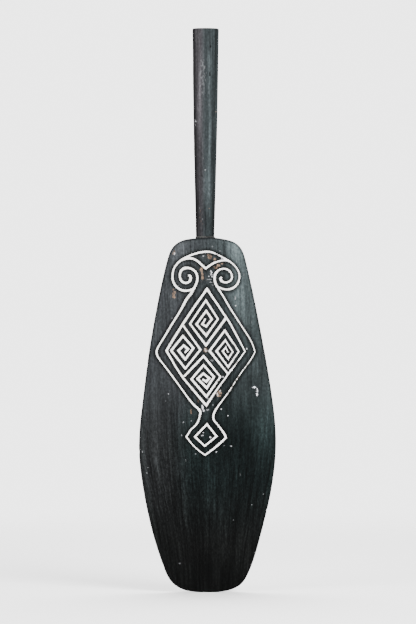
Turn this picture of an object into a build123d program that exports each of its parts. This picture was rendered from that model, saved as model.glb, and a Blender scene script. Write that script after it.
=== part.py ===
"""Carved wooden paddle: a broad leaf-shaped blade on a short, hand-faceted shaft.

The shaft is tenoned and glued into the top of the blade. The front of the blade carries an engraved figure,
two scrolls over a lozenge of four meanders with a small pendant lozenge, and each groove is filled with lime.

Frame, in millimetres: the origin is on the shaft's axis at the throat, where the shaft meets the blade.
+Z runs up the shaft, the carved front faces -Y, and +X is to the right of someone who looks at the front.
"""

import os
from math import hypot

from build123d import *

# Driving dimensions
SHAFT_TOP = 371.0  # the sawn end of the shaft
SHAFT_FOOT_OVERLAP = 6.0  # the shaft starts this far below the shoulder's crown and is coped to its arch
TENON_RADIUS = 10.0
TENON_LENGTH = 55.0
GLUE_THICKNESS = 0.3
BEAD_WIDTH = 2.2  # how far the filler bead stands out round the foot of the shaft
BEAD_HEIGHT = 2.8
BEAD_LIP = 0.5
EDGE_ROUNDING = 2.0  # on the blade's perimeter
GROOVE_DEPTH = 2.4
LIME_RECESS = 0.8  # how far the lime lies below the blade's face
PRISM_REACH = 24.0  # more than half of the blade's thickness

# The blade's section: height, half width, half thickness on the centreline and at its sides
BLADE_STATIONS = [
    (10, 84, 15.2, 9.4),
    (-70, 92, 13.2, 7.2),
    (-200, 118, 10.8, 5.4),
    (-370, 136, 9.0, 4.6),
    (-500, 122, 7.4, 4.2),
    (-590, 98, 6.2, 3.9),
    (-640, 84, 5.4, 3.6),
]

# The blade's outline, from the crown of the shoulder down to the lowest point of the tip
CROWN_OF_SHOULDER = (0, 0)
LEFT_EDGE = [
    (-32, -3.0),
    (-49, -9.0),
    (-60.4, -21.0),
    (-67.2, -38.5),
    (-78.7, -87),
    (-99.6, -200),
    (-110.8, -286),
    (-117.8, -374),
    (-110.8, -442),
    (-93, -526),
    (-74.6, -583),
    (-59.6, -611.6),
    (-38, -625.2),
]
LOWEST_POINT = (-4, -629.2)
RIGHT_EDGE = [
    (35, -3.0),
    (53, -9.0),
    (64.6, -21.0),
    (71.0, -38.5),
    (82.4, -87),
    (104.8, -200),
    (119.3, -286),
    (125.5, -362),
    (115.6, -456),
    (94.8, -541),
    (75.8, -597),
    (63.2, -615.6),
    (44, -625.2),
]

# The shaft's section in unit coordinates: hand-cut facets, the front at y = -1
SHAFT_FACETS = [
    (-1.0, -0.20),
    (-0.84, -0.62),
    (-0.60, -0.86),
    (-0.06, -1.0),
    (0.40, -0.90),
    (0.86, -0.52),
    (1.0, 0.08),
    (0.84, 0.60),
    (0.38, 0.94),
    (-0.28, 1.0),
    (-0.76, 0.72),
    (-1.0, 0.26),
]
# The shaft's axis and size: height, centre x, half width and half depth
SHAFT_STATIONS = [
    (-SHAFT_FOOT_OVERLAP, -0.2, 16.1, 12.2),
    (38, -0.1, 17.3, 13.2),
    (102, 0.1, 19.0, 14.5),
    (209, 0.4, 21.4, 16.4),
    (SHAFT_TOP, 0.8, 23.6, 18.0),
]

# The engraved figure. Each point is (x, z, width of the groove).
# One line makes the whole figure: left scroll, left flank, pendant, right flank, right scroll.
LEFT_SCROLL = [
    (-30.5, -66.6, 4.0),
    (-26.8, -68.6, 5.0),
    (-26.0, -73.5, 5.2),
    (-28.8, -78.4, 4.8),
    (-34.5, -80.6, 4.6),
    (-40.6, -78.4, 4.6),
    (-44.4, -72.6, 4.6),
    (-45.0, -66.0, 4.6),
    (-42.6, -58.6, 4.8),
    (-37.0, -54.6, 5.0),
    (-30.0, -54.0, 4.8),
    (-22.8, -56.4, 4.6),
    (-16.8, -61.8, 4.6),
    (-14.2, -69.6, 4.8),
    (-14.8, -78.4, 4.8),
    (-19.6, -89.0, 5.0),
]
LEFT_FLANK = [
    (-25.2, -99.4, 5.6),
    (-33.8, -110.6, 5.6),
    (-43.2, -128.0, 4.6),
    (-56.6, -149.5, 4.4),
    (-74.4, -179.0, 4.0),
    (-83.6, -194.2, 4.0),
    (-86.4, -202.6, 4.2),
    (-84.6, -210.4, 4.2),
    (-77.6, -220.6, 4.0),
    (-55.4, -250.0, 4.2),
    (-33.6, -280.0, 4.2),
    (-16.6, -300.0, 4.6),
    (-9.0, -308.8, 4.8),
    (-9.6, -315.4, 4.6),
    (-12.4, -325.0, 4.6),
]
PENDANT = [
    (-25.0, -339.6, 4.4),
    (-33.6, -353.0, 4.4),
    (-20.8, -369.0, 4.0),
    (-0.4, -385.4, 4.2),
    (18.8, -371.0, 5.4),
    (36.6, -354.6, 5.0),
    (29.0, -341.0, 4.8),
    (20.4, -330.2, 4.4),
    (15.0, -323.0, 4.6),
]
RIGHT_FLANK = [
    (14.4, -315.6, 4.8),
    (16.8, -308.4, 4.6),
    (22.0, -300.0, 4.2),
    (36.6, -280.4, 3.8),
    (50.4, -260.0, 3.6),
    (63.4, -240.0, 3.6),
    (78.2, -220.0, 3.6),
    (88.0, -203.0, 3.6),
    (79.6, -180.8, 3.4),
    (66.4, -160.0, 3.4),
    (53.4, -140.0, 3.6),
    (40.8, -120.0, 3.8),
    (29.4, -100.4, 4.0),
    (22.4, -89.6, 4.2),
]
RIGHT_SCROLL = [
    (18.4, -82.0, 4.4),
    (16.5, -73.6, 4.4),
    (17.6, -65.2, 4.4),
    (22.4, -58.8, 4.2),
    (29.4, -55.6, 4.0),
    (36.8, -56.0, 3.8),
    (43.4, -60.0, 4.0),
    (47.0, -66.4, 4.0),
    (46.6, -73.2, 4.0),
    (42.2, -78.0, 4.0),
    (35.6, -79.6, 4.2),
    (29.8, -77.6, 4.4),
    (27.2, -73.2, 4.2),
    (29.4, -69.8, 3.2),
]
# The crest runs over the top and round the outside of both scrolls; it starts and ends in the figure's line.
CREST = [
    (-20.0, -90.0, 4.0),
    (-25.6, -92.6, 4.4),
    (-36.0, -94.4, 4.8),
    (-46.0, -91.2, 4.8),
    (-53.4, -84.6, 4.6),
    (-57.4, -76.0, 4.6),
    (-58.0, -66.0, 4.4),
    (-54.8, -53.6, 4.0),
    (-47.0, -43.6, 4.4),
    (-36.6, -36.4, 4.6),
    (-24.0, -30.8, 4.2),
    (-11.0, -26.8, 4.4),
    (1.0, -25.2, 4.6),
    (9.6, -25.8, 4.2),
    (20.0, -29.6, 3.6),
    (32.0, -35.8, 3.8),
    (43.0, -42.2, 3.8),
    (52.6, -50.6, 3.6),
    (58.8, -60.0, 3.6),
    (60.6, -70.0, 3.8),
    (58.0, -80.0, 4.2),
    (51.4, -88.0, 4.6),
    (42.0, -91.8, 4.4),
    (31.0, -91.0, 4.0),
    (20.6, -86.0, 4.0),
]
# The brows run from the crest down to a point between the scrolls.
LEFT_BROW = [
    (-43.0, -40.6, 3.6),
    (-33.0, -37.6, 4.6),
    (-24.0, -37.2, 4.8),
    (-16.0, -40.4, 4.6),
    (-8.0, -46.8, 4.6),
]
RIGHT_BROW = [
    (1.0, -55.0, 4.6),
    (9.0, -48.8, 4.4),
    (17.0, -44.4, 4.2),
    (25.0, -41.8, 4.0),
    (34.0, -40.4, 4.0),
    (43.0, -42.4, 3.6),
]
BORDER = [
    (3.0, -91.4, 4.8),
    (-17.9, -120.5, 4.8),
    (-37.4, -149.5, 5.0),
    (-56.6, -180.0, 5.0),
    (-68.8, -200.6, 4.8),
    (-52.2, -229.6, 4.6),
    (-38.2, -250.5, 4.8),
    (-13.2, -280.0, 4.8),
    (1.8, -297.6, 5.0),
    (19.8, -270.6, 4.2),
    (41.8, -240.4, 4.4),
    (57.0, -220.4, 4.0),
    (70.4, -201.8, 4.0),
    (59.0, -180.0, 4.2),
    (42.6, -150.0, 4.4),
    (22.6, -120.0, 4.4),
]
PENDANT_CORE = [(3.0, -331.0, 5.0), (-18.4, -353.2, 5.0), (-1.0, -369.6, 4.8), (20.0, -352.4, 5.0)]
# Each meander starts in the border at one corner of its cell and winds inwards.
TOP_MEANDER = [
    (36.5, -142.9, 5.4),
    (1.2, -191.0, 4.8),
    (-27.2, -153.0, 4.4),
    (1.0, -111.4, 4.4),
    (22.4, -144.6, 4.2),
    (1.6, -173.8, 5.0),
    (-15.8, -153.6, 4.8),
    (1.6, -130.0, 4.6),
    (11.6, -144.6, 4.8),
    (1.6, -157.8, 4.8),
    (-5.4, -153.4, 5.0),
    (0.6, -143.2, 3.6),
]
LEFT_MEANDER = [
    (-40.4, -154.4, 4.2),
    (-8.6, -198.8, 4.4),
    (-35.4, -232.2, 4.8),
    (-60.4, -200.5, 5.0),
    (-39.6, -174.4, 4.8),
    (-21.0, -196.0, 5.0),
    (-35.6, -216.0, 5.0),
    (-47.8, -200.4, 5.0),
    (-38.2, -191.2, 4.8),
    (-30.6, -197.8, 5.4),
    (-36.6, -205.0, 3.4),
]
RIGHT_MEANDER = [
    (40.6, -242.2, 5.0),
    (7.6, -201.0, 4.8),
    (34.6, -164.8, 4.6),
    (59.4, -202.0, 4.4),
    (40.6, -229.4, 5.0),
    (19.8, -201.2, 5.0),
    (35.4, -182.2, 4.4),
    (48.8, -202.6, 4.4),
    (40.6, -215.0, 5.0),
    (30.8, -201.4, 5.0),
    (36.4, -195.2, 4.4),
    (41.0, -204.6, 3.2),
]
BOTTOM_MEANDER = [
    (-38.0, -246.6, 5.2),
    (-3.0, -210.2, 4.6),
    (26.8, -247.0, 4.4),
    (2.0, -282.0, 5.0),
    (-24.6, -251.0, 5.0),
    (-3.0, -226.0, 4.6),
    (15.4, -247.0, 4.8),
    (2.6, -266.8, 5.2),
    (-13.8, -250.2, 5.0),
    (-3.4, -241.0, 4.6),
    (7.0, -249.6, 5.2),
    (1.6, -255.4, 5.4),
    (-5.6, -251.0, 3.8),
]


# The points at which the engraved line turns sharply; the others are passed in a smooth curve.
CORNERS = {
    (-33.6, -353.0),
    (-0.4, -385.4),
    (36.6, -354.6),
    (88.0, -203.0),
    (1.0, -55.0),
}


def rails(points, closed=False):
    """The two sides of a groove: each centreline point moved half a width to either side, mitred."""
    count = len(points)
    left = []
    right = []
    for i, (x, z, width) in enumerate(points):
        normals = []
        for a, b in ((i - 1, i), (i, i + 1)):
            if closed or 0 <= a < b < count:
                run_x = points[b % count][0] - points[a][0]
                run_z = points[b % count][1] - points[a][1]
                run = hypot(run_x, run_z)
                normals.append((-run_z / run, run_x / run))
        (ux, uz), (vx, vz) = normals[0], normals[-1]
        mitre = width / 2 / (1 + ux * vx + uz * vz)
        left.append((x + (ux + vx) * mitre, z + (uz + vz) * mitre))
        right.append((x - (ux + vx) * mitre, z - (uz + vz) * mitre))
    return left, right


def draw_smooth(points, corners):
    """A smooth line through the points, broken only at the corners, which are given by position in the list."""
    cuts = [0] + [i for i in corners if 0 < i < len(points) - 1] + [len(points) - 1]
    for first, last in zip(cuts, cuts[1:]):
        if last - first == 1:
            Line(points[first], points[last])
        else:
            Spline(*points[first : last + 1])


def prism(left, right, corners):
    """A groove's outline, taken from the middle of the blade out past its front."""
    with BuildPart() as solid:
        with BuildSketch(Plane.XZ):
            with BuildLine():
                draw_smooth(left, corners)
                Line(left[-1], right[-1])
                draw_smooth(right, corners)
                Line(left[0], right[0])
            make_face()
        extrude(amount=PRISM_REACH)
    return solid.part


def loop_prism(points):
    """The same for a groove that closes on itself."""
    inner, outer = rails(points, closed=True)
    with BuildPart() as solid:
        with BuildSketch(Plane.XZ):
            with BuildLine():
                Polyline(*outer, close=True)
            make_face()
        extrude(amount=PRISM_REACH)
        with BuildSketch(Plane.XZ):
            with BuildLine():
                Polyline(*inner, close=True)
            make_face()
        extrude(amount=PRISM_REACH, mode=Mode.SUBTRACT)
    return solid.part


def angular_prism(points):
    """A groove in which every point is a corner."""
    left, right = rails(points)
    return prism(left, right, range(len(points)))


def prisms_along(stretches):
    """One long groove, cut into stretches that share their end faces."""
    points = [point for stretch in stretches.values() for point in stretch]
    left, right = rails(points)
    prisms = {}
    first = 0
    for name, stretch in stretches.items():
        last = min(first + len(stretch), len(points) - 1)
        corners = [i - first for i in range(first, last) if points[i][:2] in CORNERS]
        prisms[name] = prism(left[first : last + 1], right[first : last + 1], corners)
        first = last
    return prisms


def crowned_body(inset):
    """The space between the blade's two crowned faces, each moved inwards by the inset."""
    with BuildPart() as body:
        for height, half_width, middle, side in BLADE_STATIONS:
            crown = middle - inset
            flank = side - inset
            with BuildSketch(Plane.XY.offset(height)):
                with BuildLine():
                    ThreePointArc((-half_width, -flank), (0, -crown), (half_width, -flank))
                    Line((half_width, -flank), (half_width, flank))
                    ThreePointArc((half_width, flank), (0, crown), (-half_width, flank))
                    Line((-half_width, flank), (-half_width, -flank))
                make_face()
        loft()
    return body.part


def facets(centre, half_width, half_depth):
    """The corners of the shaft's faceted section."""
    return [(centre + half_width * x, half_depth * y) for x, y in SHAFT_FACETS]


def mortise(radius, depth):
    """A round bar that stands in the shaft's foot and reaches the given depth into the blade."""
    with BuildPart() as bar:
        with BuildSketch(Plane.XY.offset(-depth)):
            Circle(radius)
        extrude(amount=depth + SHAFT_FOOT_OVERLAP)
    return bar.part


def save(part, name):
    part.label = name
    export_step(part, f"parts/{name}.step")


os.makedirs("parts", exist_ok=True)

# Grooves, in the order in which one takes precedence over the next where they cross
figure = {
    "lime_left_scroll": LEFT_SCROLL,
    "lime_left_flank": LEFT_FLANK,
    "lime_pendant_outline": PENDANT,
    "lime_right_flank": RIGHT_FLANK,
    "lime_right_scroll": RIGHT_SCROLL,
}
brows = {
    "lime_left_brow": LEFT_BROW,
    "lime_right_brow": RIGHT_BROW,
}
grooves = prisms_along(figure)
grooves["lime_crest"] = prism(*rails(CREST), ())
grooves.update(prisms_along(brows))
grooves["lime_border"] = loop_prism(BORDER)
grooves["lime_top_meander"] = angular_prism(TOP_MEANDER)
grooves["lime_left_meander"] = angular_prism(LEFT_MEANDER)
grooves["lime_right_meander"] = angular_prism(RIGHT_MEANDER)
grooves["lime_bottom_meander"] = angular_prism(BOTTOM_MEANDER)
grooves["lime_pendant_core"] = loop_prism(PENDANT_CORE)
groove_floor = crowned_body(GROOVE_DEPTH)
lime_level = crowned_body(LIME_RECESS)

# Blade: the board before it is bored and engraved
with BuildPart() as board:
    with BuildSketch(Plane.XZ):
        with BuildLine():
            Spline(CROWN_OF_SHOULDER, *LEFT_EDGE, LOWEST_POINT, *RIGHT_EDGE[::-1], periodic=True)
        make_face()
    extrude(amount=PRISM_REACH, both=True)
    add(crowned_body(0), mode=Mode.INTERSECT)
    fillet(board.edges().filter_by(Axis.Y, reverse=True), radius=EDGE_ROUNDING)

# Blade
with BuildPart() as blade:
    add(board.part)
    add(mortise(TENON_RADIUS + GLUE_THICKNESS, TENON_LENGTH + GLUE_THICKNESS), mode=Mode.SUBTRACT)
    for groove in grooves.values():
        add(groove - groove_floor, mode=Mode.SUBTRACT)
save(blade.part, "blade")

# Shaft: the faceted bar, then its foot coped to the arch of the shoulder, and a round tenon
with BuildPart() as bar:
    for height, centre, half_width, half_depth in SHAFT_STATIONS:
        with BuildSketch(Plane.XY.offset(height)):
            with BuildLine():
                Polyline(*facets(centre, half_width, half_depth), close=True)
            make_face()
    loft(ruled=True)
with BuildPart() as shaft:
    add(bar.part)
    add(board.part, mode=Mode.SUBTRACT)
    add(mortise(TENON_RADIUS, TENON_LENGTH))
save(shaft.part, "shaft")

# Glue in the joint, round the tenon and under its end
with BuildPart() as glue:
    add(mortise(TENON_RADIUS + GLUE_THICKNESS, TENON_LENGTH + GLUE_THICKNESS))
    add(board.part, mode=Mode.INTERSECT)
    add(mortise(TENON_RADIUS, TENON_LENGTH), mode=Mode.SUBTRACT)
save(glue.part, "tenon_glue")

# Bead of filler round the foot of the shaft
with BuildPart() as bead:
    _, foot_centre, foot_half_width, foot_half_depth = SHAFT_STATIONS[0]
    for height, width in ((-SHAFT_FOOT_OVERLAP, BEAD_WIDTH), (BEAD_HEIGHT, BEAD_LIP)):
        with BuildSketch(Plane.XY.offset(height)):
            with BuildLine():
                Polyline(*facets(foot_centre, foot_half_width + width, foot_half_depth + width), close=True)
            make_face()
    loft(ruled=True)
    add(bar.part, mode=Mode.SUBTRACT)
    add(board.part, mode=Mode.SUBTRACT)
save(bead.part, "foot_bead")

# Lime, one piece for each stretch of groove
taken = []
for name, groove in grooves.items():
    with BuildPart() as lime:
        add(groove)
        add(lime_level, mode=Mode.INTERSECT)
        add(groove_floor, mode=Mode.SUBTRACT)
        for earlier in taken:
            add(earlier, mode=Mode.SUBTRACT)
    save(lime.part, name)
    taken.append(groove)
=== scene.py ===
"""Looks of the carved wooden paddle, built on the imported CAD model.

Shapes are worked out in millimetres in the row frame: x to the right of the carved front, z up the shaft,
and y through the thickness, the front being at negative y. They turn to metres when a mesh is made.
"""

import math

import bpy
import numpy as np
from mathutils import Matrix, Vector
from mathutils.bvhtree import BVHTree
from mathutils.geometry import delaunay_2d_cdt
from mathutils.kdtree import KDTree


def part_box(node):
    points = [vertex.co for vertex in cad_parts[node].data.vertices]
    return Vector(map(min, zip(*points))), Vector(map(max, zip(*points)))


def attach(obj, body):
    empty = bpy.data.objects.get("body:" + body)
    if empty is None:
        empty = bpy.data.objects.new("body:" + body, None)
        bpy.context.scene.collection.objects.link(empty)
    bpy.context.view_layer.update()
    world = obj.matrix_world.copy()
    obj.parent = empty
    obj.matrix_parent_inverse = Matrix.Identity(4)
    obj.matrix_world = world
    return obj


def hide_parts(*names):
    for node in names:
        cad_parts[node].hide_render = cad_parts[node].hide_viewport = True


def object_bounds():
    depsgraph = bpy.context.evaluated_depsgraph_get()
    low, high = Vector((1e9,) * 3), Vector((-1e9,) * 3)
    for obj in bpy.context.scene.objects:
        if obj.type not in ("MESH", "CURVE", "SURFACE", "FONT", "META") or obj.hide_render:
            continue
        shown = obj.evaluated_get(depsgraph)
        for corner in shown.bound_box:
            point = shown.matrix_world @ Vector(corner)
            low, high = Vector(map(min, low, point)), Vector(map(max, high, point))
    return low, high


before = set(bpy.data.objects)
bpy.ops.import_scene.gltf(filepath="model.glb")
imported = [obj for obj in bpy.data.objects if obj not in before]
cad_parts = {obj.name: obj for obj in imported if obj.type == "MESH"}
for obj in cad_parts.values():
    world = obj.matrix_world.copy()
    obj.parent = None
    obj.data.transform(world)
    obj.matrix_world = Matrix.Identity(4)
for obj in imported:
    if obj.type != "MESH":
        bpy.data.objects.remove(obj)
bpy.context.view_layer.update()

MM = 0.001

# ---------------------------------------------------------------- noise


def lattice(i, j, seed):
    """A fixed random number from 0 to 1 for each point of a square lattice."""
    h = (i * 374761393 + j * 668265263 + seed * 982451653) & 0xFFFFFFFF
    h = ((h ^ (h >> 13)) * 1274126177) & 0xFFFFFFFF
    return ((h ^ (h >> 16)) & 0xFFFF) / 65535.0


def noise(u, v, seed):
    """Smooth noise from -1 to 1 with a cell of 1."""
    i = np.floor(u).astype(np.int64)
    j = np.floor(v).astype(np.int64)
    s = u - i
    t = v - j
    s = s * s * (3 - 2 * s)
    t = t * t * (3 - 2 * t)
    low = lattice(i, j, seed) * (1 - s) + lattice(i + 1, j, seed) * s
    high = lattice(i, j + 1, seed) * (1 - s) + lattice(i + 1, j + 1, seed) * s
    return 2 * (low * (1 - t) + high * t) - 1


def fbm(u, v, seed, octaves=3):
    """Layers of noise, each half as large and half as strong as the one before."""
    total = 0.0
    for k in range(octaves):
        total = total + noise(u * 2**k, v * 2**k, seed + k) / 2**k
    return total / (2 - 2.0 ** (1 - octaves))


def smooth(t):
    """0 to 1 with an easy start and end."""
    t = np.clip(t, 0, 1)
    return t * t * (3 - 2 * t)


# ---------------------------------------------------------------- reading the CAD meshes


def face_normals(points, tris):
    """The normals of triangles, not brought to unit length."""
    a, b, c = (points[tris[:, k]] for k in range(3))
    return np.cross(b - a, c - a)


def cad_mesh(node):
    """A CAD node's points in millimetres, its triangles and their normals, with doubled points merged."""
    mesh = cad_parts[node].data
    mesh.calc_loop_triangles()
    co = np.empty(len(mesh.vertices) * 3)
    mesh.vertices.foreach_get("co", co)
    tris = np.empty(len(mesh.loop_triangles) * 3, int)
    mesh.loop_triangles.foreach_get("vertices", tris)
    keys = np.round(co.reshape(-1, 3) / MM, 3)
    points, same = np.unique(keys, axis=0, return_inverse=True)
    tris = same.reshape(-1)[tris].reshape(-1, 3)
    normals = face_normals(points, tris)
    size = np.linalg.norm(normals, axis=1)
    keep = size > 1e-9
    return points, tris[keep], normals[keep] / size[keep, None]


def boundary_loops(points, tris):
    """The closed lines, in x and z, round a set of triangles."""
    edges = set()
    for tri in tris.tolist():
        for k in range(3):
            a, b = tri[k], tri[(k + 1) % 3]
            if (b, a) in edges:
                edges.remove((b, a))
            else:
                edges.add((a, b))
    after = {}
    for a, b in sorted(edges):
        after.setdefault(a, []).append(b)
    loops = []
    while after:
        start = min(after)
        loop = [start]
        here = start
        while True:
            there = after[here].pop()
            if not after[here]:
                del after[here]
            if there == start:
                break
            loop.append(there)
            here = there
        if len(loop) > 3:
            loops.append(points[loop][:, [0, 2]])
    return loops


def extent(loop):
    """The area of the box round a loop."""
    return float(np.prod(loop.max(0) - loop.min(0)))


def resample(loop, step, corner=22):
    """The same closed line with even spacing, its corners sharper than an angle kept."""
    ahead = np.roll(loop, -1, 0) - loop
    length = np.linalg.norm(ahead, axis=1)
    loop = loop[length > 1e-3]
    ahead = np.roll(loop, -1, 0) - loop
    length = np.linalg.norm(ahead, axis=1)
    unit = ahead / length[:, None]
    turn = np.einsum("ij,ij->i", unit, np.roll(unit, 1, 0))
    corners = np.flatnonzero(turn < math.cos(math.radians(corner)))
    if len(corners) == 0:
        corners = np.array([0])
    out = []
    count = len(loop)
    for first, last in zip(corners, np.append(corners[1:], corners[0] + count)):
        path = loop[np.arange(first, last + 1) % count]
        run = np.append(0, np.cumsum(np.linalg.norm(np.diff(path, axis=0), axis=1)))
        pieces = max(1, round(run[-1] / step))
        at = np.linspace(0, run[-1], pieces + 1)[:-1]
        out.append(np.stack([np.interp(at, run, path[:, k]) for k in range(2)], 1))
    return np.concatenate(out)


def tidy_round(loop, step, reach=4):
    """A rounded outline's points in order round its middle, anticlockwise, evenly spaced and softened."""
    middle = (loop.min(0) + loop.max(0)) / 2
    away = loop - middle
    loop = loop[np.argsort(np.arctan2(away[:, 1], away[:, 0]))]
    gap = np.linalg.norm(loop - np.roll(loop, 1, 0), axis=1)
    loop = resample(loop[gap > 0.8], step, 179)
    weights = np.exp(-((np.arange(-reach, reach + 1) / (reach / 2)) ** 2) / 2)
    turned = [w * np.roll(loop, k - reach, 0) for k, w in enumerate(weights / weights.sum())]
    return sum(turned)


def offset(loop, distance):
    """The closed line moved sideways, to the left of its direction, with its corners mitred."""
    ahead = np.roll(loop, -1, 0) - loop
    ahead /= np.linalg.norm(ahead, axis=1)[:, None]
    left = np.stack([-ahead[:, 1], ahead[:, 0]], 1)
    both = left + np.roll(left, 1, 0)
    both /= np.maximum(np.einsum("ij,ij->i", both, both) / 2, 0.6)[:, None]
    return loop + both * np.reshape(distance, (-1, 1))


class Region:
    """A flat region to the left of closed lines: how far a point is from its edge, positive inside."""

    def __init__(self, loops):
        self.a = np.concatenate(loops)
        self.b = np.concatenate([np.roll(loop, -1, 0) for loop in loops])
        self.run = self.b - self.a
        self.length = np.linalg.norm(self.run, axis=1)
        self.left = np.stack([-self.run[:, 1], self.run[:, 0]], 1) / self.length[:, None]
        start = np.cumsum([0] + [len(loop) for loop in loops])
        index = [np.arange(len(loop)) for loop in loops]
        self.before = np.concatenate([np.roll(k, 1) + first for k, first in zip(index, start)])
        self.after = np.concatenate([np.roll(k, -1) + first for k, first in zip(index, start)])
        parts = np.maximum(1, np.ceil(self.length / 0.3)).astype(int)
        self.segment = np.repeat(np.arange(len(self.a)), parts)
        step = np.concatenate([(np.arange(n) + 0.5) / n for n in parts])
        samples = self.a[self.segment] + self.run[self.segment] * step[:, None]
        self.tree = KDTree(len(samples))
        for i, (x, z) in enumerate(samples.tolist()):
            self.tree.insert((x, z, 0), i)
        self.tree.balance()

    def distance(self, points):
        """How far each point is from the nearest line, negative outside the region."""
        find = self.tree.find
        near = self.segment[[find((x, z, 0))[1] for x, z in points.tolist()]]
        run = self.run[near]
        away = points - self.a[near]
        t = np.einsum("ij,ij->i", away, run) / self.length[near] ** 2
        far = away - run * np.clip(t, 0, 1)[:, None]
        side = self.left[near]
        side = side + self.left[self.before[near]] * (t <= 0)[:, None]
        side = side + self.left[self.after[near]] * (t >= 1)[:, None]
        sign = np.where(np.einsum("ij,ij->i", far, side) > 0, 1, -1)
        return np.linalg.norm(far, axis=1) * sign


blade_points, blade_tris, blade_normals = cad_mesh("blade")
blade_mid = blade_points[blade_tris].mean(1)


def crown_terms(x, z):
    """The terms of the blade's half thickness: powers of height, alone and times the square of x."""
    t = (z + 310) / 330
    return np.stack([t**k for k in range(8)] + [(x / 100) ** 2 * t**k for k in range(8)], -1)


on_back = np.unique(blade_tris[blade_normals[:, 1] > 0.9965])
on_back = on_back[blade_points[on_back, 1] > 0]
crown_fit = np.linalg.lstsq(
    crown_terms(blade_points[on_back, 0], blade_points[on_back, 2]), blade_points[on_back, 1], rcond=None
)[0]


def crown(x, z):
    """Half the blade's thickness, from the CAD blade's back."""
    return crown_terms(x, z) @ crown_fit


depth = blade_mid[:, 1] + crown(blade_mid[:, 0], blade_mid[:, 2])
floor_faces = (blade_normals[:, 1] < -0.9) & (depth > 1.8) & (depth < 3.2)
GROOVE_DEPTH = float(np.median(depth[floor_faces]))
GROOVE_STEP = 0.9
groove_outlines = boundary_loops(blade_points, blade_tris[floor_faces])
groove_loops = [resample(loop, GROOVE_STEP) for loop in groove_outlines]
grooves = Region(groove_loops)
back_faces = (blade_normals[:, 1] > 0.03) & (blade_mid[:, 1] > 0)
silhouette = max(boundary_loops(blade_points, blade_tris[back_faces]), key=extent)

# ---------------------------------------------------------------- wear, in the row frame

# Bare wood where the stain has chipped off: x, z, half width, half height, depth of the chip
CHIPS = [
    (-55.5, -26.5, 3.2, 4.2, 0.5),
    (-7.0, -56.5, 3.0, 5.4, 0.5),
    (-5.4, -64.5, 2.4, 4.0, 0.4),
    (-4.6, -71.5, 2.6, 4.6, 0.5),
    (8.0, -35.0, 5.2, 4.6, 0.5),
    (5.0, -31.0, 2.4, 2.4, 0.3),
    (17.0, -38.0, 2.8, 2.2, 0.4),
    (18.5, -53.0, 4.6, 3.0, 0.4),
    (23.5, -49.5, 4.2, 3.0, 0.4),
    (30.0, -46.5, 4.0, 1.8, 0.3),
    (-56.0, -103.0, 3.4, 6.6, 0.5),
    (-54.5, -97.0, 2.6, 2.6, 0.3),
    (-56.5, -93.0, 1.5, 2.8, 0.3),
    (0.2, -199.4, 4.2, 4.4, 0.6),
    (-13.0, -290.0, 1.9, 3.2, 0.3),
    (-25.0, -308.6, 1.9, 5.6, 0.3),
    (22.6, -276.6, 3.4, 5.4, 0.7),
    (26.6, -274.2, 2.6, 5.0, 0.6),
    (24.0, -280.4, 4.4, 2.0, 0.5),
    (7.0, -54.0, 1.6, 1.4, 0.2),
    (2.0, -76.5, 5.2, 1.3, 0.15),
    (-7.5, -78.5, 3.4, 1.3, 0.15),
    (5.0, -82.5, 6.0, 1.1, 0.12),
    (-9.0, -84.0, 2.0, 1.6, 0.12),
]
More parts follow.
